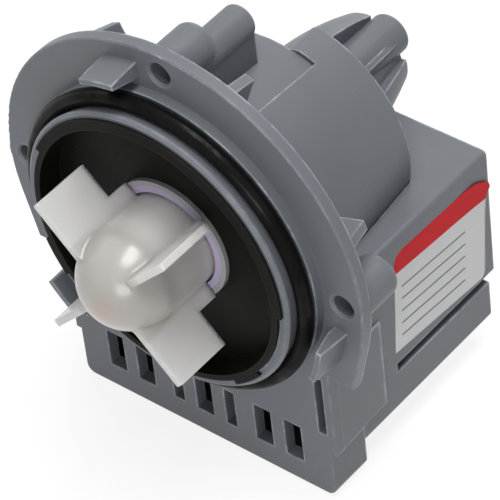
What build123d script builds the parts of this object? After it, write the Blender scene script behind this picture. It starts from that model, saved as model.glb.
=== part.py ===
from build123d import *
import math
import os

# A synchronous washer drain pump. The pump axis runs along Y through the origin. The flange's front
# face is at Y = 0, the impeller looks towards -Y, the motor lies behind towards +Y, and +Z is up.
# Lengths are in millimetres and angles in degrees. Outlines are drawn in X and Z and carried along Y,
# and turned profiles are drawn as radius and Y and revolved about the pump axis.

# Shared fits and allowances
overrun = 1.0
seat_gap = 0.05
snug_gap = 0.1
loose_gap = 0.3
shell_wall = 1.8

# Flange, its land and its spigot collar
flange_radius = 42.0
flange_thickness = 2.6
flange_ear_drop = 20.8
flange_ear_angle = 14
flange_edge_round = 0.4
land_margin = 8.8
land_radius = flange_radius - land_margin
land_width = 2.9
land_height = 2.1
collar_radius = land_radius - land_width
collar_lip_stand = 0.4
collar_lip_width = 0.7
collar_height = 7.2
collar_wall = 1.6
collar_bore_radius = collar_radius - collar_wall
collar_chamfer = 0.5
seat_web = 3.3

# Screw holes and their bosses
screw_edge_distance = 4.5
screw_circle_radius = flange_radius - screw_edge_distance
screw_hole_radius = 2.3
screw_hole_depth = 9.0
screw_boss_radius = 4.5
screw_hole_chamfer = 0.5
screw_boss_reach = 11.8
screw_boss_round = 2.0
screw_angles = (0, 90, 180)
peg_radius = 3.6
peg_offset = -0.6
peg_edge_distance = 8.6
peg_height = flange_radius - peg_edge_distance
peg_reach = 24.0
peg_round = 1.2
peg_web_width = 6.2
peg_web_reach = 23.4

# Bayonet tabs in front of the flange and gussets behind it
tab_angles = (104, 224, 344)
tab_stand = 2.5
tab_root_thickness = 2.9
tab_lean = 0.6
tab_front_thickness = 1.1
tab_length = 7.1
tab_sweep_angle = 12.6
gusset_angles = (20, 69.5, 115.5, 160)
gusset_thickness = 2.1
gusset_rim_inset = 0.5
gusset_height = 5.8
gusset_slope_run = 1.5

# Grille plate and the block behind it
plate_half_width = 32.2
plate_lower_half_width = 31.0
plate_step_drop = 42.0
plate_drop = 53.5
plate_corner_round = 2.0
block_depth = 10.0
cheek_depth = 17.0
cheek_tip = 0.4
slot_top_drop = 38.6
slot_height = 9.2
wide_slot_width = 4.1
narrow_slot_width = 2.5
wide_slot_places = (0, 14.6, 21.9)
narrow_slot_place = 6.5
edge_slot_place = 29.5
edge_slot_width = 1.9
edge_slot_top_drop = 22.5
edge_slot_height = 14.6

# Motor hood: the bulge over the rotor and the two pole lobes beside it
hood_length = 38.0
lobe_front_radius = 28.2
lobe_rear_radius = 24.5
lobe_start_angle = 66
flare_round = 6.5
crown_front_radius = 26.2
crown_radius = 24.4
crown_length = 30.2
shoulder_face = 2.2
shoulder_height = 9.0
shoulder_round = 4.6
hood_bore_radius = 21.0
hood_rim_drop = 7.0
root_boss_radius = 15.2

# Rear stub that holds the end of the rotor can
stub_root_radius = 10.8
stub_end_radius = 6.8
stub_length = 21.3
stub_bore_depth = 11.2
web_bend_reach = 11.5
broad_web_radii = (13.0, 12.0, 9.3)
slim_web_radii = (13.0, 10.8, 7.9)
broad_web_angles = (91, 150)
slim_web_angles = ((-42, 14), (205, 262))
rib_root_radius = 13.2
rib_end_radius = 9.3
rib_thickness = 1.3
rib_angles = (46, 178, 290)
lobe_pin_radius = 4.3
lobe_pin_offset = 6.1
lobe_pin_angle = 61
lobe_pin_overhang = 2.3
lobe_pin_round = 1.0

# Motor cover: the box below and behind the hood
cover_top_drop = 5.2
cover_bottom_drop = 47.0
cover_rear = 52.5
cover_lower_rear = 50.8
cover_side_wall = 2.4
cover_edge_round = 1.0
groove_drop = 36.8
groove_width = 2.2
groove_depth = 1.4
groove_start = 21.4

# Rotor can
can_radius = 13.05
can_wall = 1.1
can_front = 3.0
can_end = crown_length + loose_gap
can_end_wall = 1.5
can_tail_radius = 6.9
can_tail_wall = 1.3
can_tail_end = hood_length + stub_bore_depth - loose_gap

# Black plate that forms the back of the pump chamber
dish_floor_front = 2.2
dish_floor_thickness = 1.5
dish_bore_radius = 13.2
dish_wall = 1.3
dish_lip_front = 7.9
dish_lug_margin = 0.7
dish_lug_sectors = ((-2, 153.5), (-56, -40), (200, 216))

# O-ring
oring_section_radius = 1.56

# Shaft, magnet and bearings
shaft_radius = 2.0
shaft_front = 19.5
shaft_overhang = 2.0
magnet_radius = 10.7
sleeve_radius = 4.2
sleeve_overhang = 0.6
washer_radius = 4.0
washer_thickness = 0.5
bearing_radius = 4.5
bearing_length = 6.0
mount_rubber_length = 5.0
tail_bearing_radius = 3.5
tail_bearing_length = 7.0

# Lip seal in the mouth of the can
seal_front = 2.95
seal_length = 4.4
seal_lip_radius = 10.5
seal_lip_length = 1.2
seal_body_radius = 10.9

# Impeller and its lost-motion drive
hub_radius = 10.1
hub_rear = 1.5
dome_start = 14.6
hub_bore_radius = 7.6
hub_bore_front = 13.6
blade_count = 4
blade_first_angle = 45
blade_thickness = 1.5
blade_root_round = 0.9
blade_tip_radius = 21.1
blade_front = 21.0
blade_rear = 8.1
blade_step_radius = 13.4
blade_step_rear = 3.4
blade_corner_round = 0.35
hub_plug_thickness = 1.5
hub_plug_rear = 1.2
stop_angle = 90
stop_half_angle = 20
pad_angle = 5
dog_half_angle = 19
dog_boss_radius = 3.6
dog_lug_radius = 7.2
dog_front = 13.0
dog_rear = 0.9

# Stator: two legs with pole shoes, a yoke and two coils
stack_start = 9.0
stack_depth = crown_length - shell_wall - loose_gap - stack_start
pole_bore_radius = 13.35
pole_outer_radius = 20.7
pole_shoulder_drop = 12.0
pole_tip_radius = 16.6
pole_gap = 5.0
leg_inner = 9.5
leg_width = 11.0
yoke_top_drop = 33.6
yoke_height = 11.0
bobbin_top_drop = 17.6
bobbin_wall = 1.0
bobbin_flange_thickness = 1.2
bobbin_reach_x = 12.0
bobbin_depth = 5.6
bobbin_reach_y = stack_depth / 2 + bobbin_depth
winding_inset = 0.6
winding_round = 4.0

# Terminals and thermal protector
socket_centre_x = -13.0
socket_drop = 24.0
socket_width = 24.0
socket_height = 12.0
socket_wall = 1.3
socket_floor = 1.6
socket_front = 41.2
blade_pitch = 11.0
tab_terminal_width = 6.3
tab_terminal_thickness = 0.8
tab_terminal_front = 40.4
tab_terminal_rear = 50.4
tab_terminal_chamfer = 1.2
protector_length = 16.0
protector_height = 8.0
protector_round = 1.2


def slab(outline, start, end):
    """Carry an outline drawn in X and Z along Y from start to end."""
    plane = Plane(origin=(0, end, 0), x_dir=(1, 0, 0), z_dir=(0, -1, 0))
    return extrude(plane * outline, amount=end - start)


def ring(outer, inner, start, end):
    """A tube round the pump axis."""
    return slab(Circle(outer) - Circle(inner), start, end)


def turned(points):
    """Revolve a closed outline of radius and Y about the pump axis."""
    return revolve(make_face(Polyline(*points, close=True)), Axis.Y)


def block(x_range, y_range, z_range):
    """A box between two limits on each axis."""
    low = Vector(x_range[0], y_range[0], z_range[0])
    high = Vector(x_range[1], y_range[1], z_range[1])
    return Pos(low) * Box(*(high - low), align=(Align.MIN,) * 3)


def sector(radius, start_angle, end_angle):
    """A pie-shaped face between two angles, its point on the pump axis."""
    arc = CenterArc((0, 0), radius, start_angle, end_angle - start_angle)
    return make_face([arc, Line((0, 0), arc @ 0), Line(arc @ 1, (0, 0))])


def around(angle, shape):
    """Turn a shape about the pump axis, counted from +X towards +Z."""
    return Rot(0, -angle, 0) * shape


def rounded_end(radius, reach, end_round, start=0):
    """A peg on the Y axis with its far edge rounded."""
    peg = slab(Circle(radius), start, reach)
    return fillet(peg.edges().sort_by(Axis.Y)[-1], end_round)


# Front housing

def front_sheet_outline():
    """The flange disc with its two ears, joined to the grille plate below it."""
    disc = Circle(flange_radius)
    below = Rectangle(2 * (flange_radius + overrun), flange_radius, align=(Align.CENTER, Align.MAX))
    corner = flange_radius * math.sin(math.radians(flange_ear_angle))
    shoulder = flange_radius * math.cos(math.radians(flange_ear_angle))
    tip = shoulder - (flange_ear_drop - corner) * math.tan(math.radians(flange_ear_angle))
    disc += make_face(Polyline((-shoulder, -corner), (shoulder, -corner), (tip, -flange_ear_drop),
                               (-tip, -flange_ear_drop), close=True))
    disc -= Pos(0, -flange_ear_drop) * below
    upper = Rectangle(2 * plate_half_width, plate_step_drop, align=(Align.CENTER, Align.MAX))
    lower = Rectangle(2 * plate_lower_half_width, plate_drop, align=(Align.CENTER, Align.MAX))
    lower = fillet(lower.vertices().group_by(Axis.Y)[0], plate_corner_round)
    return disc + upper + lower


def front_sheet():
    """The flange and the grille plate as one sheet, its front edges rounded."""
    sheet = slab(front_sheet_outline(), 0, flange_thickness)
    return fillet(sheet.edges().group_by(Axis.Y)[0], flange_edge_round)


def collar():
    """The land that backs the O-ring and the spigot collar in front of it."""
    lip_rear = collar_height - collar_lip_width - collar_chamfer
    lip_radius = collar_radius + collar_lip_stand
    front_radius = lip_radius - collar_chamfer
    return turned([
        (0, 0), (land_radius, 0), (land_radius, -land_height), (collar_radius, -land_height),
        (collar_radius, -lip_rear), (lip_radius, -lip_rear - collar_chamfer / 2),
        (lip_radius, -collar_height + collar_chamfer), (front_radius, -collar_height), (0, -collar_height),
    ])


def bayonet_tab():
    """One tab on +X: a wedge that gets thinner towards its front."""
    root_inner = land_radius + tab_stand
    root_outer = root_inner + tab_root_thickness
    front_outer = root_outer - tab_lean
    front_inner = front_outer - tab_front_thickness
    profile = make_face(Polyline(
        (root_inner, flange_thickness / 2), (root_outer, flange_thickness / 2),
        (root_outer, 0), (front_outer, -tab_length), (front_inner, -tab_length),
        (root_inner, -land_height), close=True))
    half = around(-tab_sweep_angle / 2, profile)
    return revolve(half, Axis((0, 0, 0), (0, -1, 0)), tab_sweep_angle)


def gusset():
    """One rib on +X between the back of the flange and the hood."""
    rim = flange_radius - gusset_rim_inset
    top = flange_thickness + gusset_height
    profile = make_face(Polyline(
        (hood_bore_radius, flange_thickness / 2), (rim, flange_thickness / 2), (rim, flange_thickness),
        (rim - gusset_slope_run, top), (hood_bore_radius, top), close=True))
    return extrude(profile, amount=gusset_thickness / 2, both=True)


def flared(front_radius, rear_radius, length):
    """A tapered drum behind the flange, rounded into it."""
    foot = front_radius + flare_round + overrun
    corner = (front_radius, flange_thickness)
    face = make_face(Polyline(
        (0, 0), (foot, 0), (foot, flange_thickness), corner, (rear_radius, length), (0, length), close=True))
    face = fillet(face.vertices().sort_by_distance(corner)[0], flare_round)
    return revolve(face, Axis.Y)


def shoulder_outline(margin):
    """The upper left area that the hood leaves free at its rear, drawn in by a margin."""
    width = 2 * flange_radius
    corner = Pos(shoulder_face - margin, shoulder_height + margin)
    return corner * Rectangle(width, width, align=(Align.MAX, Align.MIN))


def hood_lobes():
    """The bulge over the pole shoes: one lobe on each side of the crown, the right one longer on top."""
    drum = flared(lobe_front_radius, lobe_rear_radius, hood_length)
    opening = sector(2 * flange_radius, lobe_start_angle, 180 - lobe_start_angle)
    rear = Circle(lobe_rear_radius + overrun) - shoulder_outline(0)
    rear = fillet(rear.vertices().group_by(Axis.Y)[-1], shoulder_round)
    around_rear = slab(Circle(flange_radius) - rear, crown_length, hood_length + overrun)
    return drum - slab(opening, 0, crown_length) - around_rear


def hood_crown():
    """The lower roof between the two lobes."""
    return flared(crown_front_radius, crown_radius, crown_length)


def stub_profile(root, middle, tip):
    """Half section of the stub from its root in the hood to its end, bent outwards between."""
    bend = hood_length + web_bend_reach
    end = hood_length + stub_length
    start = hood_length - shell_wall
    return make_face([
        Line((0, end), (0, start)), Line((0, start), (root, start)),
        Line((root, start), (root, hood_length)),
        ThreePointArc((root, hood_length), (middle, bend), (tip, end)), Line((tip, end), (0, end)),
    ])


def rib():
    """One thin rib of the stub on +X, deep at its root."""
    end = hood_length + stub_length
    profile = make_face(Polyline(
        (0, hood_length - shell_wall), (rib_root_radius, hood_length - shell_wall),
        (rib_root_radius, hood_length), (rib_end_radius, end), (0, end), close=True))
    return extrude(profile, amount=rib_thickness / 2, both=True)


def stub_core():
    """The boss round the end of the can and the tapered core of the stub behind it."""
    end = hood_length + stub_length
    start = crown_length - shell_wall
    return turned([
        (0, start), (root_boss_radius, start), (root_boss_radius, hood_length),
        (stub_root_radius, hood_length), (stub_end_radius, end), (0, end),
    ])


def web(radii, start_angle, end_angle):
    """One broad web of the stub between two angles."""
    start = around(start_angle, stub_profile(*radii))
    return revolve(start, Axis((0, 0, 0), (0, -1, 0)), end_angle - start_angle)


def rear_stub():
    """The fluted stub: core, webs, thin ribs and one round pin."""
    end = hood_length + stub_length
    pin = rounded_end(lobe_pin_radius, end + lobe_pin_overhang, lobe_pin_round, hood_length - shell_wall)
    pin = around(lobe_pin_angle, Pos(lobe_pin_offset, 0, 0) * pin)
    stub = stub_core() + pin + web(broad_web_radii, *broad_web_angles)
    for angles in slim_web_angles:
        stub += web(slim_web_radii, *angles)
    for angle in rib_angles:
        stub += around(angle, rib())
    return stub


def block_walls():
    """The shallow tray behind the grille plate and its tapered cheeks."""
    half = plate_lower_half_width
    start = flange_thickness / 2
    tray = block((-half, half), (start, block_depth), (-plate_drop, -cover_top_drop))
    tray = fillet(tray.edges().filter_by(Axis.Y).group_by(Axis.Z)[0], plate_corner_round)
    cheek = make_face(Polyline(
        (half, start), (plate_half_width, start), (half + cheek_tip, cheek_depth), (half, cheek_depth),
        close=True))
    wedge = extrude(Pos(0, 0, -plate_step_drop) * cheek, amount=plate_step_drop - flange_ear_drop)
    return tray + wedge + mirror(wedge, Plane.YZ)


def housing_cavities():
    """Everything that is hollow behind the flange."""
    inner = plate_lower_half_width - cover_side_wall
    floor = -plate_drop + shell_wall
    sill = block_depth - shell_wall
    tray = block((-inner, inner), (flange_thickness, sill), (floor, -cover_top_drop - shell_wall))
    throat_low = -cover_bottom_drop + shell_wall
    throat = block((-inner, inner), (sill - overrun, block_depth + overrun),
                   (throat_low, -cover_top_drop - shell_wall))
    side = hood_bore_radius
    below = block((-side, side), (flange_thickness, hood_length - shell_wall), (-side, 0))
    rear = slab(Circle(side) - shoulder_outline(-shell_wall), crown_length - shell_wall - overrun,
                hood_length - shell_wall)
    return tray + throat + hood_bore() + below + rear


def hood_bore():
    """The round space for the pole shoes, from the flange to the crown's rear wall."""
    return slab(Circle(hood_bore_radius), flange_thickness, crown_length - shell_wall)


def hood_skirt():
    """The part of the hood that would reach down inside the motor cover."""
    wide = lobe_front_radius + overrun
    start = block_depth
    skirt = block((-wide, wide), (start, hood_length + overrun), (-wide, -hood_rim_drop))
    return skirt


def grille_slots():
    """Seven vents in a row and one tall slot at each edge of the plate."""
    cutters = []
    reach = flange_thickness + overrun
    row = (-slot_top_drop - slot_height, -slot_top_drop)
    widths = {place: wide_slot_width for place in wide_slot_places}
    widths[narrow_slot_place] = narrow_slot_width
    for place, width in widths.items():
        for centre in {place, -place}:
            limits = (centre - width / 2, centre + width / 2)
            cutters.append(block(limits, (-overrun, reach), row))
    tall = (-edge_slot_top_drop - edge_slot_height, -edge_slot_top_drop)
    inner_face = plate_lower_half_width - cover_side_wall
    for side in (1, -1):
        limits = (side * edge_slot_place - edge_slot_width / 2, side * edge_slot_place + edge_slot_width / 2)
        cutters.append(block(limits, (-overrun, block_depth - shell_wall), tall))
        inner = sorted((side * (inner_face - overrun), side * edge_slot_place))
        cutters.append(block(inner, (flange_thickness, block_depth - shell_wall), tall))
    return cutters


def screw_boss(angle):
    """A round-ended boss behind one screw hole."""
    boss = rounded_end(screw_boss_radius, screw_boss_reach, screw_boss_round)
    return around(angle, Pos(screw_circle_radius, 0, 0) * boss)


def screw_hole(angle):
    """A blind pilot hole, open and chamfered towards the front."""
    mouth = screw_hole_radius + screw_hole_chamfer
    hole = turned([
        (0, -overrun), (mouth, -overrun), (mouth, 0), (screw_hole_radius, screw_hole_chamfer),
        (screw_hole_radius, screw_hole_depth), (0, screw_hole_depth),
    ])
    return around(angle, Pos(screw_circle_radius, 0, 0) * hole)


def locating_peg():
    """The peg behind the flange, with the web that joins it to the crown."""
    peg = rounded_end(peg_radius, peg_reach, peg_round)
    half = peg_web_width / 2
    peg += block((-half, half), (0, peg_web_reach), (hood_bore_radius - peg_height, 0))
    return Pos(peg_offset, 0, peg_height) * peg


def front_housing():
    """One moulding: flange, spigot, grille plate, motor hood and rear stub."""
    housing = front_sheet() + block_walls()
    housing += hood_lobes() + hood_crown()
    housing -= hood_skirt()
    housing -= housing_cavities()
    seat = collar() + slab(Circle(land_radius), 0, flange_thickness)
    housing += seat + rear_stub()
    for angle in tab_angles:
        housing += around(angle, bayonet_tab())
    for angle in gusset_angles:
        housing += around(angle, gusset())
    housing += locating_peg()
    for angle in screw_angles:
        housing += screw_boss(angle)
    for angle in screw_angles:
        housing -= screw_hole(angle)
    housing -= hood_bore()
    seat_floor = flange_thickness - seat_web
    housing -= slab(Circle(collar_bore_radius), -collar_height - overrun, seat_floor)
    housing -= slab(Circle(can_radius + seat_gap), -collar_height - overrun, flange_thickness + overrun)
    pocket = crown_length - shell_wall - overrun
    housing -= slab(Circle(can_radius + loose_gap), pocket, can_end + loose_gap)
    housing -= slab(Circle(can_tail_radius + seat_gap), can_end, hood_length + stub_bore_depth)
    for cutter in grille_slots():
        housing -= cutter
    return housing


# Motor cover

def stub_envelope():
    """The space that the stub and its webs need where they pass over the cover."""
    start = hood_length - shell_wall - overrun
    end = hood_length + stub_length
    root = rib_root_radius + loose_gap
    return turned([
        (0, start), (root, start), (root, hood_length), (rib_end_radius + loose_gap, end), (0, end),
    ])


def hood_envelope():
    """The space that the hood needs where it passes through the cover's roof."""
    slope = (lobe_front_radius - lobe_rear_radius) / (hood_length - flange_thickness)
    front = lobe_front_radius + snug_gap + slope * flange_thickness
    return turned([
        (0, 0), (front, 0), (lobe_rear_radius + snug_gap, hood_length + snug_gap),
        (0, hood_length + snug_gap),
    ])


def motor_cover():
    """The box-shaped rear shell that covers the coils and carries the label."""
    half = plate_lower_half_width
    inner = half - cover_side_wall
    upper = block((-half, half), (block_depth, cover_rear), (-groove_drop, -cover_top_drop))
    lower = block((-half, half), (block_depth, cover_lower_rear), (-cover_bottom_drop, -groove_drop))
    shell = upper + lower
    rims = shell.edges().filter_by(Axis.Y).group_by(Axis.Z)
    shell = fillet(rims[0] + rims[-1], cover_edge_round)
    cavity_rear = cover_lower_rear - shell_wall
    shell -= block((-inner, inner), (block_depth - overrun, cavity_rear),
                   (-cover_bottom_drop + shell_wall, -cover_top_drop - shell_wall))
    for side in (1, -1):
        limits = sorted((side * (half - groove_depth), side * (half + overrun)))
        shell -= block(limits, (groove_start, cover_rear + overrun),
                       (-groove_drop - groove_width / 2, -groove_drop + groove_width / 2))
    shell -= hood_envelope()
    shell -= stub_envelope()
    shell -= socket_box(0, cavity_rear - overrun, cover_rear + overrun)
    return shell


def socket_box(margin, start, end):
    """The outline of the terminal socket, grown by a margin."""
    outline = Pos(socket_centre_x, -socket_drop) * Rectangle(
        socket_width + 2 * margin, socket_height + 2 * margin)
    return slab(outline, start, end)


# Pump chamber and seals

def o_ring_seal():
    """The round cord that lies on the land, against the collar."""
    centre = collar_radius + oring_section_radius
    section = Pos(centre, -land_height - oring_section_radius) * Circle(oring_section_radius)
    return revolve(section, Axis.Y)


def chamber_back_plate():
    """The black cup in the collar, with a lip and lugs over the collar's rim."""
    rear = dish_floor_front - dish_floor_thickness
    lip_rear = collar_height
    wall = collar_bore_radius - seat_gap
    inner = wall - dish_wall
    cup = turned([
        (dish_bore_radius, -rear), (wall, -rear), (wall, -dish_lip_front), (inner, -dish_lip_front),
        (inner, -dish_floor_front), (dish_bore_radius, -dish_floor_front),
    ])
    lug_radius = collar_radius - dish_lug_margin
    for start_angle, end_angle in dish_lug_sectors:
        lug = sector(lug_radius, start_angle, end_angle) - Circle(inner)
        cup += slab(lug, -dish_lip_front, -lip_rear)
    return cup


def rotor_can():
    """The thin cup between the water and the stator, with a narrow tail in the stub."""
    inner = can_radius - can_wall
    floor = can_end - can_end_wall
    tail_inner = can_tail_radius - can_tail_wall
    tail_floor = can_tail_end - can_tail_wall
    return turned([
        (inner, -can_front), (can_radius, -can_front), (can_radius, can_end), (can_tail_radius, can_end),
        (can_tail_radius, can_tail_end), (0, can_tail_end), (0, tail_floor), (tail_inner, tail_floor),
        (tail_inner, floor), (inner, floor),
    ])


def lip_seal():
    """The ring in the can's mouth, its lip close round the hub."""
    outer = can_radius - can_wall - seat_gap
    front = -seal_front
    return turned([
        (seal_lip_radius, front), (outer, front), (outer, front + seal_length),
        (seal_body_radius, front + seal_length), (seal_body_radius, front + seal_lip_length),
        (seal_lip_radius, front + seal_lip_length / 2),
    ])


# Rotor

def front_bearing_end():
    """Where the front bearing stops, one washer ahead of the magnet."""
    return stack_start - sleeve_overhang - washer_thickness - seat_gap


def tail_bearing_start():
    """Where the rear bearing begins, one washer behind the magnet."""
    return stack_start + stack_depth + sleeve_overhang + washer_thickness + seat_gap


def rotor_shaft():
    """The steel shaft, from inside the impeller's hub to the rear bearing."""
    end = tail_bearing_start() + tail_bearing_length + shaft_overhang
    return slab(Circle(shaft_radius), -shaft_front, end)


def rotor_magnet():
    """The ferrite tube on the rotor sleeve."""
    return ring(magnet_radius, sleeve_radius, stack_start, stack_start + stack_depth)


def magnet_sleeve():
    """The moulded core that joins the magnet to the shaft."""
    start = stack_start - sleeve_overhang
    end = stack_start + stack_depth + sleeve_overhang
    return ring(sleeve_radius, shaft_radius, start, end)


def thrust_washer(start):
    """A thin ring on the shaft between the sleeve and a bearing."""
    return ring(washer_radius, shaft_radius + seat_gap, start, start + washer_thickness)


def front_thrust_washer():
    """The washer ahead of the magnet, against the sleeve."""
    return thrust_washer(front_bearing_end())


def rear_thrust_washer():
    """The washer behind the magnet, against the sleeve."""
    return thrust_washer(tail_bearing_start() - washer_thickness - seat_gap)


def front_bearing():
    """The bush that carries the shaft behind the impeller."""
    end = front_bearing_end() - seat_gap
    return ring(bearing_radius, shaft_radius + seat_gap, end - bearing_length, end)


def front_bearing_mount():
    """The rubber ring that holds the front bush in the can."""
    end = front_bearing_end() - seat_gap
    return ring(can_radius - can_wall - seat_gap, bearing_radius, end - mount_rubber_length, end)


def rear_bearing():
    """The bush that carries the shaft's tail."""
    start = tail_bearing_start()
    return ring(tail_bearing_radius, shaft_radius + seat_gap, start, start + tail_bearing_length)


def rear_bearing_mount():
    """The rubber ring that holds the rear bush in the can's tail."""
    outer = can_tail_radius - can_tail_wall - seat_gap
    return ring(outer, tail_bearing_radius, can_end, can_end + mount_rubber_length)


def drive_dog():
    """The driver on the shaft: a boss with one wide lug, opposite the impeller's stop."""
    lug_angle = stop_angle + 180
    lug = sector(dog_lug_radius, lug_angle - dog_half_angle, lug_angle + dog_half_angle)
    outline = Circle(dog_boss_radius) + lug - Circle(shaft_radius)
    return slab(outline, -dog_front, -dog_rear)


# Impeller

def blade():
    """One flat blade on +X, stepped in at its rear."""
    outline = Polyline(
        (0, -blade_step_rear), (blade_step_radius, -blade_step_rear), (blade_step_radius, -blade_rear),
        (blade_tip_radius, -blade_rear), (blade_tip_radius, -blade_front), (0, -blade_front), close=True)
    face = make_face(outline)
    tips = [corner for corner in face.vertices() if corner.X > blade_step_radius + overrun / 2]
    face = fillet(tips, blade_corner_round)
    return extrude(face, amount=blade_thickness / 2, both=True)


def hub():
    """The hub with its domed nose, hollow from the rear."""
    nose = dome_start + hub_radius
    middle = dome_start + hub_radius * math.sin(math.radians(45))
    half_width = hub_radius * math.cos(math.radians(45))
    outline = [
        Line((0, -nose), (0, hub_rear)), Line((0, hub_rear), (hub_radius, hub_rear)),
        Line((hub_radius, hub_rear), (hub_radius, -dome_start)),
        ThreePointArc((hub_radius, -dome_start), (half_width, -middle), (0, -nose)),
    ]
    return revolve(make_face(outline), Axis.Y)


def blade_root_edges(wheel):
    """The straight edges where the blades stand on the hub."""
    longest = dome_start - blade_step_rear + seat_gap
    roots = []
    for edge in wheel.edges().filter_by(Axis.Y):
        middle = edge @ (1 / 2)
        distance = math.hypot(middle.X, middle.Z)
        if abs(distance - hub_radius) < seat_gap and edge.length < longest:
            roots.append(edge)
    return roots


def impeller():
    """Hub, four blades and the stop that the drive dog strikes."""
    wheel = hub()
    for index in range(blade_count):
        wheel += around(blade_first_angle + index * 360 / blade_count, blade())
    wheel = fillet(blade_root_edges(wheel), blade_root_round)
    wheel -= slab(Circle(hub_bore_radius), -hub_bore_front, hub_rear + overrun)
    wheel -= slab(Circle(shaft_radius + seat_gap), -shaft_front - loose_gap, 0)
    stop = sector(hub_bore_radius + overrun, stop_angle - stop_half_angle, stop_angle + stop_half_angle)
    stop -= Circle(dog_boss_radius + loose_gap)
    plug_front = hub_plug_rear - hub_plug_thickness
    wheel += slab(stop, -hub_bore_front - overrun, plug_front)
    return wheel


def stop_pads():
    """Two soft pads, one on each face of the impeller's stop."""
    pads = []
    inner = Circle(dog_boss_radius + loose_gap)
    for start_angle in (stop_angle - stop_half_angle - pad_angle, stop_angle + stop_half_angle):
        outline = sector(hub_bore_radius, start_angle, start_angle + pad_angle) - inner
        pads.append(slab(outline, -hub_bore_front, hub_plug_rear - hub_plug_thickness))
    return Compound(pads)


def hub_plug():
    """The disc that closes the hub behind the drive dog."""
    front = hub_plug_rear - hub_plug_thickness
    return ring(hub_bore_radius, shaft_radius + seat_gap, front, hub_plug_rear)


# Stator

def stator_leg():
    """The right-hand leg of the laminated core, with its pole shoe round the can."""
    reach = pole_outer_radius + overrun
    shoe = Circle(pole_outer_radius) - Pos(0, -pole_shoulder_drop) * Rectangle(
        2 * reach, reach, align=(Align.CENTER, Align.MAX))
    leg = Pos(leg_inner, -yoke_top_drop) * Rectangle(leg_width, yoke_top_drop, align=(Align.MIN, Align.MIN))
    outline = shoe + Circle(pole_tip_radius) + leg - Circle(pole_bore_radius)
    half = Pos(pole_gap / 2, 0) * Rectangle(reach, 4 * reach, align=(Align.MIN, Align.CENTER))
    return slab(outline & half, stack_start, stack_start + stack_depth)


def stator_yoke():
    """The bar that joins the two legs below the coils."""
    half = leg_inner + leg_width
    top = -yoke_top_drop
    return block((-half, half), (stack_start, stack_start + stack_depth), (top - yoke_height, top))


def leg_centre():
    """Where a leg's axis crosses X and Y."""
    return leg_inner + leg_width / 2, stack_start + stack_depth / 2


def coil_block(reach_x, reach_y, low, high):
    """A block round the right-hand leg, between two heights."""
    x, y = leg_centre()
    return block((x - reach_x, x + reach_x), (y - reach_y, y + reach_y), (low, high))


def coil_bobbin():
    """The flanged former on the right-hand leg."""
    low, high = -yoke_top_drop + seat_gap, -bobbin_top_drop
    bore_x, bore_y = leg_width / 2 + seat_gap, stack_depth / 2 + seat_gap
    former = coil_block(bore_x + bobbin_wall, bore_y + bobbin_wall, low, high)
    for start in (low, high - bobbin_flange_thickness):
        former += coil_block(bobbin_reach_x, bobbin_reach_y, start, start + bobbin_flange_thickness)
    return former - coil_block(bore_x, bore_y, low - overrun, high + overrun)


def coil_winding():
    """The wound copper on the right-hand former, as one rounded ring."""
    low = -yoke_top_drop + seat_gap + bobbin_flange_thickness
    high = -bobbin_top_drop - bobbin_flange_thickness
    core_x = leg_width / 2 + seat_gap + bobbin_wall
    core_y = stack_depth / 2 + seat_gap + bobbin_wall
    coil = coil_block(bobbin_reach_x - winding_inset, bobbin_reach_y - winding_inset, low, high)
    coil = fillet(coil.edges().filter_by(Axis.Z), winding_round)
    return coil - coil_block(core_x, core_y, low - overrun, high + overrun)


def thermal_protector():
    """The flat cut-out that lies between the two coils."""
    gap = leg_inner + leg_width / 2 - bobbin_reach_x + winding_inset
    half = gap - loose_gap
    _, y = leg_centre()
    middle = -(yoke_top_drop + bobbin_top_drop) / 2
    capsule = block((-half, half), (y - protector_length / 2, y + protector_length / 2),
                    (middle - protector_height / 2, middle + protector_height / 2))
    return fillet(capsule.edges().filter_by(Axis.Y), protector_round)


# Terminals

def terminal_socket():
    """The insulating cup in the cover's rear wall, slotted for the two tabs."""
    cup = socket_box(0, socket_front, cover_rear)
    cup -= socket_box(-socket_wall, socket_front + socket_floor, cover_rear + overrun)
    for place in terminal_places():
        cup -= terminal_outline(place, socket_front - overrun, cover_rear)
    return cup


def terminal_places():
    """The two tabs' centres in X."""
    return socket_centre_x - blade_pitch / 2, socket_centre_x + blade_pitch / 2


def terminal_outline(place, start, end):
    """One tab's section carried along Y."""
    outline = Pos(place, -socket_drop) * Rectangle(tab_terminal_thickness, tab_terminal_width)
    return slab(outline, start, end)


def supply_terminals():
    """Two spade tabs with chamfered tips."""
    tabs = []
    for place in terminal_places():
        tab = terminal_outline(place, tab_terminal_front, tab_terminal_rear)
        tips = tab.edges().filter_by(Axis.X).group_by(Axis.Y)[-1]
        tabs.append(chamfer(tips, tab_terminal_chamfer))
    return Compound(tabs)


def mirrored(shape):
    """The same piece on the left-hand side."""
    return mirror(shape, Plane.YZ)


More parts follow.
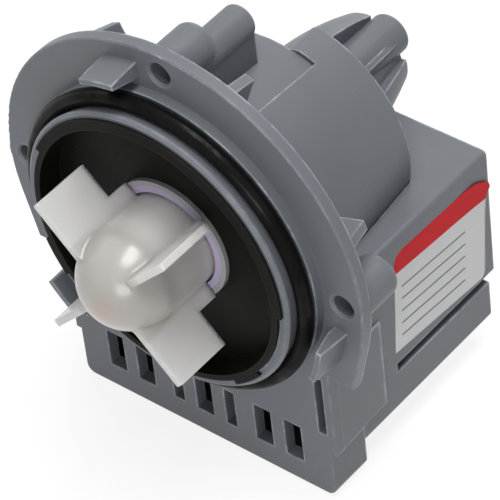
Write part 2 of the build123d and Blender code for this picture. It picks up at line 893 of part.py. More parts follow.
def main():
    """Build every piece and write it to its own file."""
    os.makedirs("parts", exist_ok=True)
    pieces = {
        "front_housing": front_housing(),
        "motor_cover": motor_cover(),
        "o_ring_seal": o_ring_seal(),
        "chamber_back_plate": chamber_back_plate(),
        "rotor_can": rotor_can(),
        "lip_seal": lip_seal(),
        "rotor_shaft": rotor_shaft(),
        "rotor_magnet": rotor_magnet(),
        "magnet_sleeve": magnet_sleeve(),
        "front_thrust_washer": front_thrust_washer(),
        "rear_thrust_washer": rear_thrust_washer(),
        "front_bearing": front_bearing(),
        "front_bearing_mount": front_bearing_mount(),
        "rear_bearing": rear_bearing(),
        "rear_bearing_mount": rear_bearing_mount(),
        "drive_dog": drive_dog(),
        "impeller": impeller(),
        "impeller_stop_pads": stop_pads(),
        "impeller_hub_plug": hub_plug(),
        "right_stator_leg": stator_leg(),
        "left_stator_leg": mirrored(stator_leg()),
        "stator_yoke": stator_yoke(),
        "right_coil_bobbin": coil_bobbin(),
        "left_coil_bobbin": mirrored(coil_bobbin()),
        "right_coil_winding": coil_winding(),
        "left_coil_winding": mirrored(coil_winding()),
        "thermal_protector": thermal_protector(),
        "terminal_socket": terminal_socket(),
        "supply_terminals": supply_terminals(),
    }
    for name, piece in pieces.items():
        export_step(piece, os.path.join("parts", name + ".step"))


if __name__ == "__main__":
    main()
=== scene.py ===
import math

import bpy
import numpy as np
from bpy.props import FloatProperty, FloatVectorProperty, PointerProperty
from mathutils import Matrix, Vector


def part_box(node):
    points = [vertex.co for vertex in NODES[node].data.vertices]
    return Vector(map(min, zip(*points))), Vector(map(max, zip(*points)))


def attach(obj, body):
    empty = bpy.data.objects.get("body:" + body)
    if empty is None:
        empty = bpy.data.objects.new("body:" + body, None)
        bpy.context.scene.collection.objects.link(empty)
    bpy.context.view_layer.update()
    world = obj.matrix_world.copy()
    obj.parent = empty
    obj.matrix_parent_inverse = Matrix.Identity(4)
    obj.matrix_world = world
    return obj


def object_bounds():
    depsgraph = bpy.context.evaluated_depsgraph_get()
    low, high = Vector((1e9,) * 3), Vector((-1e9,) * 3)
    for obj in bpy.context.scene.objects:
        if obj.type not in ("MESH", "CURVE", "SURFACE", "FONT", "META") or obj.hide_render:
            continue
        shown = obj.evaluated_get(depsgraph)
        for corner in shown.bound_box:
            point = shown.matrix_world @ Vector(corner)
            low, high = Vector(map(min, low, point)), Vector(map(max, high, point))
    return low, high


bl_info = {
    "name": "Washer Drain Pump",
    "version": (1, 0, 0),
    "blender": (4, 5, 0),
    "location": "View3D > Sidebar > Drain Pump",
    "description": "Dresses the packed drain pump and sets its studio stage",
    "category": "Object",
}

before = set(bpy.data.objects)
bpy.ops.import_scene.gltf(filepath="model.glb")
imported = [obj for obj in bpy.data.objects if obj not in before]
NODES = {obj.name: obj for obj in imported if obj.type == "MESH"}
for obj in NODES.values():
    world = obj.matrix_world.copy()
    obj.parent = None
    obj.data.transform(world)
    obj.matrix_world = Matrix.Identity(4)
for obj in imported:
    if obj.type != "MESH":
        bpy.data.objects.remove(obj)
CAD_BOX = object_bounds()
MM = 0.001
WHITE = (1.0, 1.0, 1.0, 1.0)
SEEN_RAYS = ("Is Camera Ray", "Is Glossy Ray", "Is Transmission Ray")
RAY_SAMPLES = 6

# Sizes that the finishes use, in metres
EDGE_RADIUS = 0.22 * MM
# Reaches of the lightened outer edges, which are partly wear and partly a painted highlight
GREY_EDGE_WEAR_AND_HIGHLIGHT = 0.46 * MM
BLACK_EDGE_WEAR_AND_HIGHLIGHT = 0.42 * MM
SHEET_THICKNESS = 0.5 * MM
WIRES_PER_METRE = 4200.0


# Shader graphs

class Sock:
    """A shader socket that takes part in Python sums."""

    def __init__(self, graph, socket):
        self.graph = graph
        self.socket = socket

    def _math(self, operation, first, second):
        return self.graph.node("ShaderNodeMath", {"operation": operation}, {0: first, 1: second})

    def __add__(self, other):
        return self._math("ADD", self, other)

    def __radd__(self, other):
        return self._math("ADD", other, self)

    def __sub__(self, other):
        return self._math("SUBTRACT", self, other)

    def __rsub__(self, other):
        return self._math("SUBTRACT", other, self)

    def __mul__(self, other):
        return self._math("MULTIPLY", self, other)

    def __rmul__(self, other):
        return self._math("MULTIPLY", other, self)

    def __pow__(self, other):
        return self._math("POWER", self, other)

    def clamped(self):
        """The value held between 0 and 1."""
        return self.graph.node("ShaderNodeClamp", {}, {"Value": self})

    def step(self, low, high):
        """0 below low, 1 above high and smooth between them."""
        return self.graph.node("ShaderNodeMapRange", {"interpolation_type": "SMOOTHSTEP"},
                               {"Value": self, "From Min": low, "From Max": high})


class Graph:
    """One material and the nodes that make it."""

    def __init__(self, name):
        self.material = bpy.data.materials.new(name)
        self.material.use_nodes = True
        self.tree = self.material.node_tree
        self.tree.nodes.clear()

    def node(self, kind, settings, inputs, output=0):
        """Add a node: its settings first, then the values or links of its sockets."""
        made = self.tree.nodes.new(kind)
        for name, value in settings.items():
            setattr(made, name, value)
        for name, value in inputs.items():
            target = made.inputs[name]
            if isinstance(value, Sock):
                self.tree.links.new(value.socket, target)
            else:
                target.default_value = value
        return Sock(self, made.outputs[output]) if made.outputs else None

    def place(self):
        """The point in the object's own frame, in metres."""
        return self.node("ShaderNodeTexCoord", {}, {}, "Object")

    def axis(self, name):
        """One coordinate of the point, in metres."""
        return self.node("ShaderNodeSeparateXYZ", {}, {"Vector": self.place()}, name)

    def stretched(self, scale):
        """The point with each coordinate scaled by its own factor."""
        return self.node("ShaderNodeMapping", {}, {"Vector": self.place(), "Scale": scale})

    def noise(self, scale, detail=2.0, roughness=0.5, where=None):
        """Soft noise from 0 to 1, its scale in lumps per metre."""
        return self.node("ShaderNodeTexNoise", {}, {
            "Vector": where or self.place(), "Scale": scale, "Detail": detail,
            "Roughness": roughness})

    def cells(self, scale):
        """Distance to the nearest of many scattered points, in cells."""
        return self.node("ShaderNodeTexVoronoi", {}, {"Vector": self.place(), "Scale": scale})

    def fraction(self, value):
        """What is left of the value above the whole number below it."""
        return self.node("ShaderNodeMath", {"operation": "FRACT"}, {0: value})

    def blend(self, amount, first, second):
        """The first colour changing to the second as the amount goes from 0 to 1."""
        return self.node("ShaderNodeMix", {"data_type": "RGBA"},
                         {"Factor": amount, 6: first, 7: second}, 2)

    def bump(self, height, distance, strength=1.0, over=None):
        """A normal bent by a height from 0 to 1, which stands for a real distance in metres."""
        inputs = {"Height": height, "Distance": distance, "Strength": strength}
        if over is not None:
            inputs["Normal"] = over
        return self.node("ShaderNodeBump", {}, inputs)

    def rounded(self, radius):
        """The normal that the piece would have with its edges broken by a radius in metres."""
        return self.node("ShaderNodeBevel", {"samples": RAY_SAMPLES}, {"Radius": radius})

    def outer_edges(self, reach):
        """0 on faces and in inner corners, rising to 1 along outer edges.

        Rays that go inwards from a point meet the piece's own wall within the reach only near
        an outer edge, so the edge is where those rays are stopped.
        """
        clear = self.node("ShaderNodeAmbientOcclusion",
                          {"samples": RAY_SAMPLES, "inside": True, "only_local": True},
                          {"Distance": reach}, "AO")
        at_edge, on_face = 0.64, 0.96
        return 1.0 - clear.step(at_edge, on_face)

    def close(self, inputs):
        """Join everything into one principled surface."""
        surface = self.node("ShaderNodeBsdfPrincipled", {}, inputs)
        self.node("ShaderNodeOutputMaterial", {}, {"Surface": surface})
        return self.material


def rgb(colour):
    """A colour property as a shader's four numbers."""
    return tuple(colour[:3]) + (1.0,)


def shade(colour, factor):
    """The same colour made lighter or darker."""
    return tinted(colour, factor, factor, factor)


def tinted(colour, red, green, blue):
    """The same colour with each part made lighter or darker on its own."""
    parts = zip(colour[:3], (red, green, blue))
    return tuple(min(1.0, part * factor) for part, factor in parts) + (1.0,)


def between(value, low, high, blur):
    """1 from low to high and 0 outside, with both ends blurred a little."""
    return value.step(low - blur, low + blur) * (1.0 - value.step(high - blur, high + blur))


# Finishes

def moulded_grey(name, colour):
    """Satin polypropylene: cloudy colour, fine grain, a few pale rubs and patchy edge wear with a
    painted highlight.
    """
    g = Graph(name)
    clouds = g.noise(70.0, 4.0, 0.6)
    flow = g.noise(38.0, 3.0, 0.55, g.stretched((0.5, 2.2, 0.5)))
    grain = g.noise(2300.0, 2.0, 0.6)
    speckle = g.cells(900.0).step(0.16, 0.05) * g.noise(120.0, 2.0).step(0.52, 0.62)
    rubs = g.noise(420.0, 5.0, 0.75, g.stretched((1.0, 0.25, 1.0))).step(0.62, 0.74)
    rubs = rubs * g.noise(33.0, 2.0).step(0.50, 0.64)
    base = g.blend(clouds, shade(colour, 0.88), shade(colour, 1.12))
    base = g.blend(flow * 0.5, base, shade(colour, 0.92))
    base = g.blend(rubs * 0.35, base, shade(colour, 1.5))
    base = g.blend(speckle * 0.4, base, shade(colour, 0.55))
    soft = g.rounded(EDGE_RADIUS)
    # Outer edges lightened in patches: partly wear, partly a painted highlight along the edge
    patchy = g.noise(240.0, 4.0, 0.7).step(0.42, 0.62)
    worn_and_highlight = g.outer_edges(GREY_EDGE_WEAR_AND_HIGHLIGHT) * (0.3 + patchy * 0.7)
    base = g.blend(worn_and_highlight * 0.9, base, shade(colour, 2.8))
    roughness = 0.36 + clouds * 0.12 + rubs * 0.12
    normal = g.bump(grain * 0.75 + clouds * 0.6, 0.09 * MM, 0.55, soft)
    return g.close({"Base Color": base, "Roughness": roughness, "Normal": normal,
                    "Specular IOR Level": 0.30})


def moulded_black(name, colour):
    """Satin black plastic with scuffs, dust and edges lightened by slight wear and a painted
    highlight.
    """
    g = Graph(name)
    clouds = g.noise(90.0, 4.0, 0.6)
    grain = g.noise(2000.0, 2.0, 0.6)
    dust = g.cells(700.0).step(0.10, 0.03) * g.noise(160.0, 2.0).step(0.50, 0.60)
    scuffs = g.noise(600.0, 5.0, 0.8, g.stretched((1.0, 0.3, 0.25))).step(0.60, 0.72)
    scuffs = scuffs * g.noise(60.0, 2.0).step(0.48, 0.60)
    base = g.blend(clouds, shade(colour, 0.75), shade(colour, 1.35))
    base = g.blend(scuffs * 0.25, base, shade(colour, 3.0))
    base = g.blend(dust * 0.30, base, (0.22, 0.21, 0.19, 1.0))
    soft = g.rounded(EDGE_RADIUS)
    # Outer edges lightened: slight wear and a painted highlight along the edge
    base = g.blend(g.outer_edges(BLACK_EDGE_WEAR_AND_HIGHLIGHT) * 0.3, base, shade(colour, 5.0))
    roughness = 0.34 + clouds * 0.14 + scuffs * 0.15
    normal = g.bump(grain * 0.7 + clouds * 0.5, 0.08 * MM, 0.6, soft)
    return g.close({"Base Color": base, "Roughness": roughness, "Normal": normal,
                    "Specular IOR Level": 0.05})


def greased_rubber(name, colour):
    """Black rubber with a thin film of grease that breaks up the shine."""
    g = Graph(name)
    clouds = g.noise(150.0, 4.0, 0.6)
    film = g.noise(85.0, 5.0, 0.7).step(0.42, 0.62)
    nicks = g.noise(900.0, 4.0, 0.7).step(0.64, 0.74)
    base = g.blend(clouds, shade(colour, 0.8), shade(colour, 1.6))
    base = g.blend(nicks * 0.25, base, shade(colour, 5.0))
    roughness = 0.46 - film * 0.16 + nicks * 0.2
    normal = g.bump(clouds * 0.8 + nicks * 0.3, 0.10 * MM, 0.6)
    return g.close({"Base Color": base, "Roughness": roughness, "Normal": normal,
                    "Specular IOR Level": 0.04, "Coat Weight": film * 0.12, "Coat Roughness": 0.14})


def soft_seal(name, colour):
    """Matt tinted elastomer."""
    g = Graph(name)
    clouds = g.noise(260.0, 4.0, 0.6)
    base = g.blend(clouds, shade(colour, 0.85), shade(colour, 1.15))
    normal = g.bump(g.noise(1900.0, 2.0), 0.06 * MM, 0.5)
    return g.close({"Base Color": base, "Roughness": 0.45 + clouds * 0.15, "Normal": normal})


def milky_plastic(name, colour, stain):
    """Milky acetal that lets light a little way in.

    The hub is warmer than the blades, its dome darker by painted shade, its rear lighter by painted
    light and its nose stained.
    All four masks are read from the distance to the pump's axis and the place along it.
    """
    g = Graph(name)
    x, y, z = g.axis("X"), g.axis("Y"), g.axis("Z")
    reach = (x * x + z * z) ** 0.5
    off_centre = x - 1.4 * MM
    from_gate = (off_centre * off_centre + z * z) ** 0.5
    clouds = g.noise(120.0, 4.0, 0.6)
    swirl = g.noise(75.0, 3.0, 0.6, g.stretched((1.0, 0.45, 1.0)))
    spots = g.cells(420.0).step(0.06, 0.02) * g.noise(90.0, 1.0).step(0.55, 0.62)
    hub = 1.0 - reach.step(10.5 * MM, 12.0 * MM)
    # Mask for the painted shade on the dome
    dome = hub * (1.0 - y.step(-17.5 * MM, -12.0 * MM))
    nose = (1.0 - from_gate.step(0.4 * MM, 4.0 * MM)) * (1.0 - y.step(-21.5 * MM, -18.5 * MM))
    # Mask for the painted light on the hub's rear
    rear_painted_light = (1.0 - reach.step(9.8 * MM, 11.2 * MM)) * y.step(-15.0 * MM, -10.5 * MM)
    base = g.blend(clouds, shade(colour, 0.95), shade(colour, 1.04))
    base = g.blend(swirl.step(0.45, 0.75) * 0.35, base, shade(colour, 0.90))
    base = g.blend(hub * 0.85, base, tinted(colour, 1.00, 0.965, 0.925))
    # Painted shade darkens the dome and painted light brightens the hub's rear
    base = g.blend(dome * 0.85, base, tinted(colour, 0.78, 0.75, 0.715))
    base = g.blend(rear_painted_light * 0.9, base, tinted(colour, 1.42, 1.38, 1.33))
    base = g.blend(nose * (0.35 + 0.5 * clouds), base, stain)
    base = g.blend(spots * 0.7, base, (0.24, 0.20, 0.16, 1.0))
    soft = g.rounded(0.25 * MM)
    normal = g.bump(g.noise(1300.0, 2.0) * 0.4 + swirl * 0.8, 0.10 * MM, 0.5, soft)
    return g.close({"Base Color": base, "Roughness": 0.24 + clouds * 0.12, "Normal": normal,
                    "Subsurface Weight": 1.0, "Subsurface Radius": (1.0, 0.95, 0.9),
                    "Subsurface Scale": 12.0 * MM, "Coat Weight": 0.35, "Coat Roughness": 0.07})


def plain_moulding(name, colour):
    """Small satin moulding with a faint grain."""
    g = Graph(name)
    clouds = g.noise(200.0, 4.0, 0.6)
    base = g.blend(clouds, shade(colour, 0.88), shade(colour, 1.1))
    normal = g.bump(g.noise(2100.0, 2.0), 0.06 * MM, 0.5)
    return g.close({"Base Color": base, "Roughness": 0.38 + clouds * 0.15, "Normal": normal})


def ground_steel(name, colour):
    """Steel ground round its axis: fine rings and a little oil."""
    g = Graph(name)
    rings = g.noise(1.0, 4.0, 0.7, g.stretched((60.0, 5200.0, 60.0)))
    oil = g.noise(110.0, 3.0, 0.6).step(0.45, 0.65)
    base = g.blend(rings, shade(colour, 0.82), shade(colour, 1.1))
    base = g.blend(oil * 0.25, base, shade(colour, 0.65))
    normal = g.bump(rings, 0.02 * MM, 0.5)
    return g.close({"Base Color": base, "Metallic": 1.0, "Roughness": 0.24 + rings * 0.14,
                    "Normal": normal})


def sintered(name, colour):
    """Pressed and fired powder: dark, dry and slightly pitted."""
    g = Graph(name)
    clouds = g.noise(240.0, 5.0, 0.65)
    pits = g.cells(1500.0).step(0.22, 0.06)
    base = g.blend(clouds, shade(colour, 0.75), shade(colour, 1.3))
    base = g.blend(pits * 0.5, base, shade(colour, 0.45))
    normal = g.bump(1.0 - pits * 0.7, 0.07 * MM, 0.6)
    return g.close({"Base Color": base, "Roughness": 0.55 + clouds * 0.2, "Normal": normal})


def stacked_sheet(name, colour):
    """A stack of thin steel sheets with their joints across Y and spots of rust."""
    g = Graph(name)
    y = g.axis("Y")
    joint = g.fraction(y * (1.0 / SHEET_THICKNESS))
    line = (joint - 0.5) * 2.0
    line = (line * line).step(0.55, 0.95)
    rust = g.noise(420.0, 5.0, 0.7).step(0.57, 0.70)
    clouds = g.noise(150.0, 4.0, 0.6)
    base = g.blend(clouds, shade(colour, 0.8), shade(colour, 1.25))
    base = g.blend(line * 0.6, base, shade(colour, 0.35))
    base = g.blend(rust * 0.55, base, (0.20, 0.085, 0.035, 1.0))
    normal = g.bump(1.0 - line, 0.06 * MM, 0.6)
    return g.close({"Base Color": base, "Metallic": 0.85 - rust * 0.7,
                    "Roughness": 0.42 + rust * 0.3 + clouds * 0.1, "Normal": normal})


def wound_wire(name, colour):
    """Enamelled wire laid side by side round Z, about a quarter of a millimetre apart."""
    g = Graph(name)
    z = g.axis("Z")
    wander = g.noise(160.0, 3.0, 0.6)
    turn = g.fraction(z * WIRES_PER_METRE + wander * 2.2)
    crown = 1.0 - (turn - 0.5) * (turn - 0.5) * 4.0
    # Painted shade in the grooves between turns and a painted highlight along each turn's crown
    base = g.blend(crown, shade(colour, 0.35), shade(colour, 1.15))
    base = g.blend(wander.step(0.55, 0.75) * 0.4, base, shade(colour, 0.7))
    normal = g.bump(crown, 0.09 * MM, 0.8)
    return g.close({"Base Color": base, "Metallic": 0.9, "Roughness": 0.26 + wander * 0.15,
                    "Normal": normal, "Coat Weight": 0.4, "Coat Roughness": 0.15})


def tinned(name, colour):
    """Tin plate over brass, slightly streaked by the press."""
    g = Graph(name)
    streaks = g.noise(1.0, 4.0, 0.6, g.stretched((2400.0, 260.0, 260.0)))
    base = g.blend(streaks, shade(colour, 0.85), shade(colour, 1.15))
    return g.close({"Base Color": base, "Metallic": 1.0, "Roughness": 0.30 + streaks * 0.15,
                    "Normal": g.bump(streaks, 0.02 * MM, 0.5)})


def printed_label(name, band, field, sizes):
    """A glossy sticker: a plain band of colour above a pale field with five blank ruled lines.

    Both are read from the label's own UV map. The lines' part is cut into equal spaces, and a
    line lies wherever the height is close to the middle of a space.
    """
    g = Graph(name)
    where = g.node("ShaderNodeUVMap", {"uv_map": "label"}, {})
    along, up = (g.node("ShaderNodeSeparateXYZ", {}, {"Vector": where}, axis) for axis in "XY")
    lowest, space, lines = 0.075, 0.125, 5
    off_middle = g.fraction((up - lowest) * (1.0 / space)) - 0.5
    ruled = 1.0 - (off_middle * off_middle).step(0.0025, 0.0070)
    ruled = ruled * between(along, 0.071, 0.773, 0.003)
    ruled = ruled * between(up, lowest, lowest + lines * space, 0.001)
    inked = (up - sizes.band_start).step(-0.004, 0.004)
    clouds = g.noise(140.0, 4.0, 0.6)
    creases = g.noise(260.0, 4.0, 0.65, g.stretched((1.0, 0.3, 1.0)))
    paper = g.blend(clouds, shade(field, 0.96), shade(field, 1.04))
    paper = g.blend(ruled * 0.8, paper, (0.075, 0.075, 0.08, 1.0))
    ink = g.blend(clouds, shade(band, 0.85), shade(band, 1.15))
    base = g.blend(inked, paper, ink)
    normal = g.bump(creases * 0.8 + g.noise(1500.0, 2.0) * 0.2, 0.12 * MM, 0.45)
    return g.close({"Base Color": base, "Roughness": 0.36 + creases * 0.15, "Normal": normal,
                    "Specular IOR Level": 0.05})


# Meshes

def surface(name, points, uv=None):
    """A mesh from a grid of points, rows by columns by three, with faces between neighbours.

    Its UV map takes the last word of the mesh's name.
    """
    rows, columns = points.shape[:2]
    index = np.arange(rows * columns).reshape(rows, columns)
    quads = np.stack([index[:-1, :-1], index[:-1, 1:], index[1:, 1:], index[1:, :-1]], axis=-1)
    mesh = bpy.data.meshes.new(name)
    mesh.from_pydata(points.reshape(-1, 3).tolist(), [], quads.reshape(-1, 4).tolist())
    if uv is not None:
        loops = np.empty(len(mesh.loops), dtype=np.int32)
        mesh.loops.foreach_get("vertex_index", loops)
        layer = mesh.uv_layers.new(name=name.split("_")[-1])
        layer.data.foreach_set("uv", uv.reshape(-1, 2)[loops].ravel().astype(np.float32))
    mesh.shade_smooth()
    made = bpy.data.objects.new(name, mesh)
    bpy.context.scene.collection.objects.link(made)
    return made


def label_sheet(sizes):
    """The sticker's outer face and its UV map.

    The outline is given as shares of the label's width and height: rounded corners, the upper
    rear one cut off and pulled outwards. A row of the grid joins the front edge to the rear edge
    at one height, so share a of the way along lies at front(b) + a * (rear(b) - front(b)). The
    sheet lies a gap off the cover, lifts by the square of its nearness to the upper rear corner
    and ripples by about a hundredth of a millimetre as a product of two sines.
    """
    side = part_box("motor_cover")[1].x
    heights = np.array([0.0, 0.015, 0.05, 0.78, 0.86, 0.92, 0.97, 0.995, 1.0])
    front = np.array([0.0, 0.0, 0.0, 0.0, 0.0, 0.0, 0.02, 0.05, 0.08])
    rear = np.array([0.955, 0.985, 1.0, 1.0, 1.035, 1.01, 0.93, 0.88, 0.86])
    columns, rows = 57, 61
    a, b = np.meshgrid(np.linspace(0, 1, columns), np.linspace(0, 1, rows))
    start, end = np.interp(b, heights, front), np.interp(b, heights, rear)
    across = start + a * (end - start)
    top = 1 + sizes.label_rise * across
    along, up = across * sizes.label_width, b * top * sizes.label_height
    turn = sizes.label_turn
    y = sizes.label_front + along * math.cos(turn) - up * math.sin(turn)
    z = sizes.label_bottom + along * math.sin(turn) + up * math.cos(turn)
    gap, ripple = 0.05 * MM, 0.012 * MM
    nearness = 2 * np.clip(across + b - 1.55, 0, 1)
    lift = gap + sizes.corner_lift * nearness ** 2
    lift = lift + ripple * np.sin(14 * across + 3 * b) * np.sin(9 * b)
    return np.stack([side + lift, y, z], axis=-1), np.stack([across, b * top], axis=-1)


# Settings

class PumpSizes(bpy.types.PropertyGroup):
    """Sizes of the pieces that this file adds, in metres."""

    label_front: FloatProperty(
        name="Label front",
        description="How far behind the flange the label's lower front corner lies",
        default=21.2 * MM, unit="LENGTH")
    label_bottom: FloatProperty(
        name="Label bottom", description="Height of the label's lower front corner",
        default=-32.8 * MM, unit="LENGTH")
    label_width: FloatProperty(
        name="Label width", description="Length of the label's lower edge", default=28.55 * MM,
        unit="LENGTH")
    label_height: FloatProperty(
        name="Label height", description="Height of the label at its front edge",
        default=23.7 * MM, unit="LENGTH")
    label_rise: FloatProperty(
        name="Label rise", description="How much taller the label is at its rear edge, as a share",
        default=0.06, subtype="FACTOR")
    label_turn: FloatProperty(
        name="Label turn", description="How far the label is stuck on askew",
        default=math.radians(-4.8), subtype="ANGLE")
    corner_lift: FloatProperty(
        name="Corner lift", description="How far the upper rear corner stands off the cover",
        default=0.9 * MM, unit="LENGTH")
    band_start: FloatProperty(
        name="Band start", default=0.808, subtype="FACTOR",
        description="Where the coloured band starts, as a share of the label's height")
    floor_drop: FloatProperty(
        name="Floor drop", description="Distance of the floor below the pump",
        default=0.4 * MM, unit="LENGTH")
    floor_reach: FloatProperty(
        name="Floor reach", description="Half the width of the floor", default=1.6, unit="LENGTH")


class PumpColours(bpy.types.PropertyGroup):
    """Colours of the finishes."""

    grey: FloatVectorProperty(
        name="Grey moulding", description="Flange, hood and motor cover",
        default=(0.150, 0.161, 0.178), subtype="COLOR")
    black: FloatVectorProperty(
        name="Black moulding", description="Chamber back plate and small black mouldings",
        default=(0.0065, 0.0065, 0.006), subtype="COLOR")
    rubber: FloatVectorProperty(
        name="Rubber", description="O-ring, bearing rings and pads",
        default=(0.004, 0.004, 0.004), subtype="COLOR")
    seal: FloatVectorProperty(
        name="Seal", description="Tinted ring in the can's mouth",
        default=(0.46, 0.39, 0.55), subtype="COLOR")
    can: FloatVectorProperty(
        name="Can", description="Rotor can", default=(0.36, 0.36, 0.37), subtype="COLOR")
    milk: FloatVectorProperty(
        name="Impeller", description="Milky plastic of the impeller",
        default=(0.53, 0.524, 0.518), subtype="COLOR")
    stain: FloatVectorProperty(
        name="Stain", description="Gate mark on the impeller's nose",
        default=(0.50, 0.40, 0.34), subtype="COLOR")
    steel: FloatVectorProperty(
        name="Steel", description="Shaft", default=(0.56, 0.56, 0.57), subtype="COLOR")
    core: FloatVectorProperty(
        name="Core", description="Laminated core", default=(0.16, 0.17, 0.19), subtype="COLOR")
    copper: FloatVectorProperty(
        name="Copper", description="Enamelled windings", default=(0.52, 0.17, 0.06),
        subtype="COLOR")
    ferrite: FloatVectorProperty(
        name="Ferrite", description="Rotor magnet", default=(0.045, 0.045, 0.05), subtype="COLOR")
    ceramic: FloatVectorProperty(
        name="Ceramic", description="Bearing bushes", default=(0.58, 0.56, 0.52), subtype="COLOR")
    nylon: FloatVectorProperty(
        name="Natural nylon", description="Sleeve, dog, formers and socket",
        default=(0.66, 0.61, 0.50), subtype="COLOR")
    washer: FloatVectorProperty(
        name="Thrust washer", description="Thrust washers", default=(0.42, 0.19, 0.07),
        subtype="COLOR")
    tin: FloatVectorProperty(
        name="Tin", description="Supply tabs", default=(0.62, 0.60, 0.55), subtype="COLOR")
    band: FloatVectorProperty(
        name="Label band", description="Band along the label's upper edge",
        default=(0.60, 0.018, 0.022), subtype="COLOR")
    field: FloatVectorProperty(
        name="Label field", description="Pale field of the label",
        default=(0.66, 0.66, 0.665), subtype="COLOR")
    floor: FloatVectorProperty(
        name="Floor", description="Floor under the pump", default=(0.80, 0.80, 0.80),
        subtype="COLOR")


# Operators

def dress(material, *names):
    """Give CAD nodes one material each."""
    for name in names:
        NODES[name].data.materials.clear()
        NODES[name].data.materials.append(material)


class PUMP_OT_housing(bpy.types.Operator):
    """Finish the two large grey mouldings"""

    bl_idname = "pump.housing"
    bl_label = "Housing and Cover"

    def execute(self, context):
        colours = context.scene.pump_colours
        dress(moulded_grey("GreyHousing", colours.grey), "front_housing")
        # The cover's grey is the housing's grey made darker as painted shade
        dress(moulded_grey("GreyCover", shade(colours.grey, 0.97)), "motor_cover")
        return {"FINISHED"}


class PUMP_OT_chamber(bpy.types.Operator):
    """Finish the black back plate, the can's mouth and the two seals"""

    bl_idname = "pump.chamber"
    bl_label = "Chamber and Seals"

    def execute(self, context):
        colours = context.scene.pump_colours
        dress(moulded_black("BlackBackPlate", colours.black), "chamber_back_plate")
        dress(greased_rubber("GreasedORing", colours.rubber), "o_ring_seal")
        dress(plain_moulding("PaleCan", colours.can), "rotor_can")
        dress(soft_seal("TintedSeal", colours.seal), "lip_seal")
        return {"FINISHED"}


class PUMP_OT_impeller(bpy.types.Operator):
    """Finish the impeller and what closes its hub"""

    bl_idname = "pump.impeller"
    bl_label = "Impeller"

    def execute(self, context):
        colours = context.scene.pump_colours
        milky = milky_plastic("MilkyImpeller", colours.milk, rgb(colours.stain))
        dress(milky, "impeller", "impeller_hub_plug")
        dress(greased_rubber("PadRubber", colours.rubber), "impeller_stop_pads")
        return {"FINISHED"}


class PUMP_OT_rotor(bpy.types.Operator):
    """Finish the shaft, magnet, bearings and drive"""

    bl_idname = "pump.rotor"
    bl_label = "Rotor and Bearings"

    def execute(self, context):
        colours = context.scene.pump_colours
        dress(ground_steel("GroundShaft", colours.steel), "rotor_shaft")
        dress(sintered("FerriteMagnet", colours.ferrite), "rotor_magnet")
        dress(sintered("CeramicBush", colours.ceramic), "front_bearing", "rear_bearing")
        dress(greased_rubber("BearingRubber", colours.rubber), "front_bearing_mount",
              "rear_bearing_mount")
        dress(plain_moulding("NaturalNylon", colours.nylon), "magnet_sleeve", "drive_dog")
        dress(plain_moulding("WasherPlastic", colours.washer), "front_thrust_washer",
              "rear_thrust_washer")
        return {"FINISHED"}


class PUMP_OT_stator(bpy.types.Operator):
    """Finish the laminated core, the coils and the thermal protector"""

    bl_idname = "pump.stator"
    bl_label = "Stator"

    def execute(self, context):
        colours = context.scene.pump_colours
        dress(stacked_sheet("CoreSheets", colours.core), "right_stator_leg", "left_stator_leg",
              "stator_yoke")
        dress(plain_moulding("BobbinNylon", shade(colours.nylon, 1.1)), "right_coil_bobbin",
              "left_coil_bobbin")
        dress(wound_wire("EnamelledWire", colours.copper), "right_coil_winding",
              "left_coil_winding")
        dress(moulded_black("ProtectorCase", colours.black), "thermal_protector")
        return {"FINISHED"}


class PUMP_OT_terminals(bpy.types.Operator):
    """Finish the socket and its two tabs"""

    bl_idname = "pump.terminals"
    bl_label = "Terminals"

    def execute(self, context):
        colours = context.scene.pump_colours
        dress(plain_moulding("SocketNylon", shade(colours.nylon, 1.15)), "terminal_socket")
        dress(tinned("TinnedTabs", colours.tin), "supply_terminals")
        return {"FINISHED"}


class PUMP_OT_label(bpy.types.Operator):
    """Lay the blank label on the cover's right-hand side"""

    bl_idname = "pump.label"
    bl_label = "Label"

    def execute(self, context):
        sizes, colours = context.scene.pump_sizes, context.scene.pump_colours
        label = surface("cover_label", *label_sheet(sizes))
        thickness = label.modifiers.new("Thickness", "SOLIDIFY")
        thickness.thickness = 0.12 * MM
        thickness.offset = -1.0
        finish = printed_label("PrintedLabel", colours.band, colours.field, sizes)
        label.data.materials.append(finish)
        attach(label, "pump_body")
        return {"FINISHED"}


class PUMP_OT_stage(bpy.types.Operator):
    """Set the floor, the lamps and the camera"""

    bl_idname = "pump.stage"
    bl_label = "Studio Stage"

    def execute(self, context):
        sizes, colours = context.scene.pump_sizes, context.scene.pump_colours
        floor = surface("studio_floor", floor_points(sizes))
        floor.data.materials.append(floor_finish("StudioFloor", rgb(colours.floor)))
        set_world(context.scene)
        set_lamps(context.scene)
        set_camera(context.scene)
        context.scene.view_settings.view_transform = "Standard"
        return {"FINISHED"}


def floor_points(sizes):
    """A flat square grid just below the pump."""
    height = CAD_BOX[0].z - sizes.floor_drop
    shares = np.linspace(-1, 1, 9)
    x, y = np.meshgrid(shares, shares)
    return np.stack([x, y, np.zeros_like(x)], axis=-1) * sizes.floor_reach + [0, 0, height]


def floor_finish(name, colour):
    """Pale floor, lifted to white where it is seen, with the object's shadow left on it."""
    lift, brightness = 0.76, 1.12
    g = Graph(name)
    camera, glossy, through = (g.node("ShaderNodeLightPath", {}, {}, key) for key in SEEN_RAYS)
    seen = (camera + glossy + through).clamped()
    matt = g.node("ShaderNodeBsdfDiffuse", {}, {"Color": colour})
    glow = g.node("ShaderNodeEmission", {}, {"Color": WHITE, "Strength": brightness})
    mixed = g.node("ShaderNodeMixShader", {}, {"Fac": seen * lift, 1: matt, 2: glow})
    g.node("ShaderNodeOutputMaterial", {}, {"Surface": mixed})
    return g.material


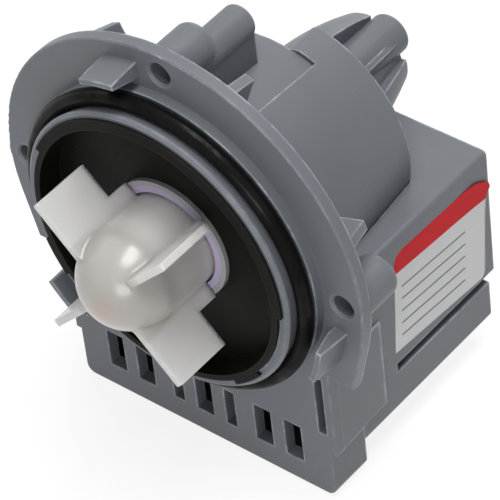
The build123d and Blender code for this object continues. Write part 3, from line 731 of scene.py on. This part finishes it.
def set_world(scene):
    """A white room for rays that are seen, with only a little plain light on the object."""
    ambient, seen_white = 0.08, 1.0
    world = bpy.data.worlds.new("Studio")
    scene.world = world
    world.use_nodes = True
    tree = world.node_tree
    background = tree.nodes["Background"]
    background.inputs["Color"].default_value = WHITE
    path = tree.nodes.new("ShaderNodeLightPath")
    seen = path.outputs[SEEN_RAYS[0]]
    for key in SEEN_RAYS[1:]:
        either = tree.nodes.new("ShaderNodeMath")
        either.operation = "MAXIMUM"
        tree.links.new(seen, either.inputs[0])
        tree.links.new(path.outputs[key], either.inputs[1])
        seen = either.outputs[0]
    strength = tree.nodes.new("ShaderNodeMapRange")
    strength.inputs["To Min"].default_value = ambient
    strength.inputs["To Max"].default_value = seen_white
    tree.links.new(seen, strength.inputs["Value"])
    tree.links.new(strength.outputs[0], background.inputs["Strength"])


def set_lamps(scene):
    """Soft boxes: a wide key overhead and weak fills from the left, the front and the rear.

    Each row gives a name, a place, a width and height, all in metres, and a power in watts.
    """
    aim = Vector((0.0, 0.012, -0.005))
    lamps = (
        ("Key", Vector((0.14, 0.03, 0.98)), (0.90, 0.45), 11.0),
        ("LeftFill", Vector((-0.85, 0.05, 0.60)), (0.60, 0.60), 0.7),
        ("FrontFill", Vector((0.45, -0.88, 0.24)), (0.50, 0.40), 3.3),
        ("RearFill", Vector((-0.45, 0.95, 0.40)), (0.60, 0.60), 2.4),
    )
    for name, place, size, power in lamps:
        data = bpy.data.lights.new(name, "AREA")
        data.shape = "RECTANGLE"
        data.size, data.size_y = size
        data.energy = power
        lamp = bpy.data.objects.new(name, data)
        lamp.location = place
        lamp.rotation_euler = (aim - place).to_track_quat("-Z", "Y").to_euler()
        scene.collection.objects.link(lamp)


def set_camera(scene):
    """The photograph's view: from the front right, well above the pump and a little tilted.

    The angles, the distance, the two sideways shifts and the focal length, in widths of the
    picture, come from fitting a camera to the flange, impeller, holes and cover edges.
    """
    azimuth, elevation, roll = (math.radians(a) for a in (43.337, 42.835, -7.123))
    distance, shift_right, shift_up = 0.69287, 0.01274751, -0.00368763
    focal_widths, sensor = 7.534874883, 36.0
    back = Vector((math.sin(azimuth) * math.cos(elevation),
                   -math.cos(azimuth) * math.cos(elevation), math.sin(elevation)))
    level = Vector((math.cos(azimuth), math.sin(azimuth), 0.0))
    above = back.cross(level)
    right = level * math.cos(roll) + above * math.sin(roll)
    up = above * math.cos(roll) - level * math.sin(roll)
    data = bpy.data.cameras.new("PhotoCamera")
    data.sensor_width = sensor
    data.lens = sensor * focal_widths
    data.clip_start, data.clip_end = 0.05, 20.0
    camera = bpy.data.objects.new("PhotoCamera", data)
    turn = Matrix((right, up, back)).transposed().to_4x4()
    spot = right * shift_right + up * shift_up + back * distance
    camera.matrix_world = Matrix.Translation(spot) @ turn
    scene.collection.objects.link(camera)
    scene.camera = camera


class PUMP_PT_panel(bpy.types.Panel):
    """Lists the pump's steps, sizes and colours"""

    bl_idname = "PUMP_PT_panel"
    bl_label = "Drain Pump"
    bl_space_type = "VIEW_3D"
    bl_region_type = "UI"
    bl_category = "Drain Pump"

    def draw(self, context):
        layout = self.layout
        for operator in OPERATORS:
            layout.operator(operator.bl_idname)
        scene = context.scene
        for title, group in (("Sizes", scene.pump_sizes), ("Colours", scene.pump_colours)):
            box = layout.box()
            box.label(text=title)
            for name in group.__annotations__:
                box.prop(group, name)


OPERATORS = (
    PUMP_OT_housing, PUMP_OT_chamber, PUMP_OT_impeller, PUMP_OT_rotor, PUMP_OT_stator,
    PUMP_OT_terminals, PUMP_OT_label, PUMP_OT_stage,
)
CLASSES = (PumpSizes, PumpColours) + OPERATORS + (PUMP_PT_panel,)


def register():
    """Add the classes and the scene's settings."""
    for item in CLASSES:
        bpy.utils.register_class(item)
    bpy.types.Scene.pump_sizes = PointerProperty(type=PumpSizes)
    bpy.types.Scene.pump_colours = PointerProperty(type=PumpColours)


def unregister():
    """Take the classes and the scene's settings away again."""
    del bpy.types.Scene.pump_colours
    del bpy.types.Scene.pump_sizes
    for item in reversed(CLASSES):
        bpy.utils.unregister_class(item)


def main():
    """Register the classes and run every step in order."""
    register()
    bpy.ops.pump.housing()
    bpy.ops.pump.chamber()
    bpy.ops.pump.impeller()
    bpy.ops.pump.rotor()
    bpy.ops.pump.stator()
    bpy.ops.pump.terminals()
    bpy.ops.pump.label()
    bpy.ops.pump.stage()


if __name__ == "__main__":
    main()
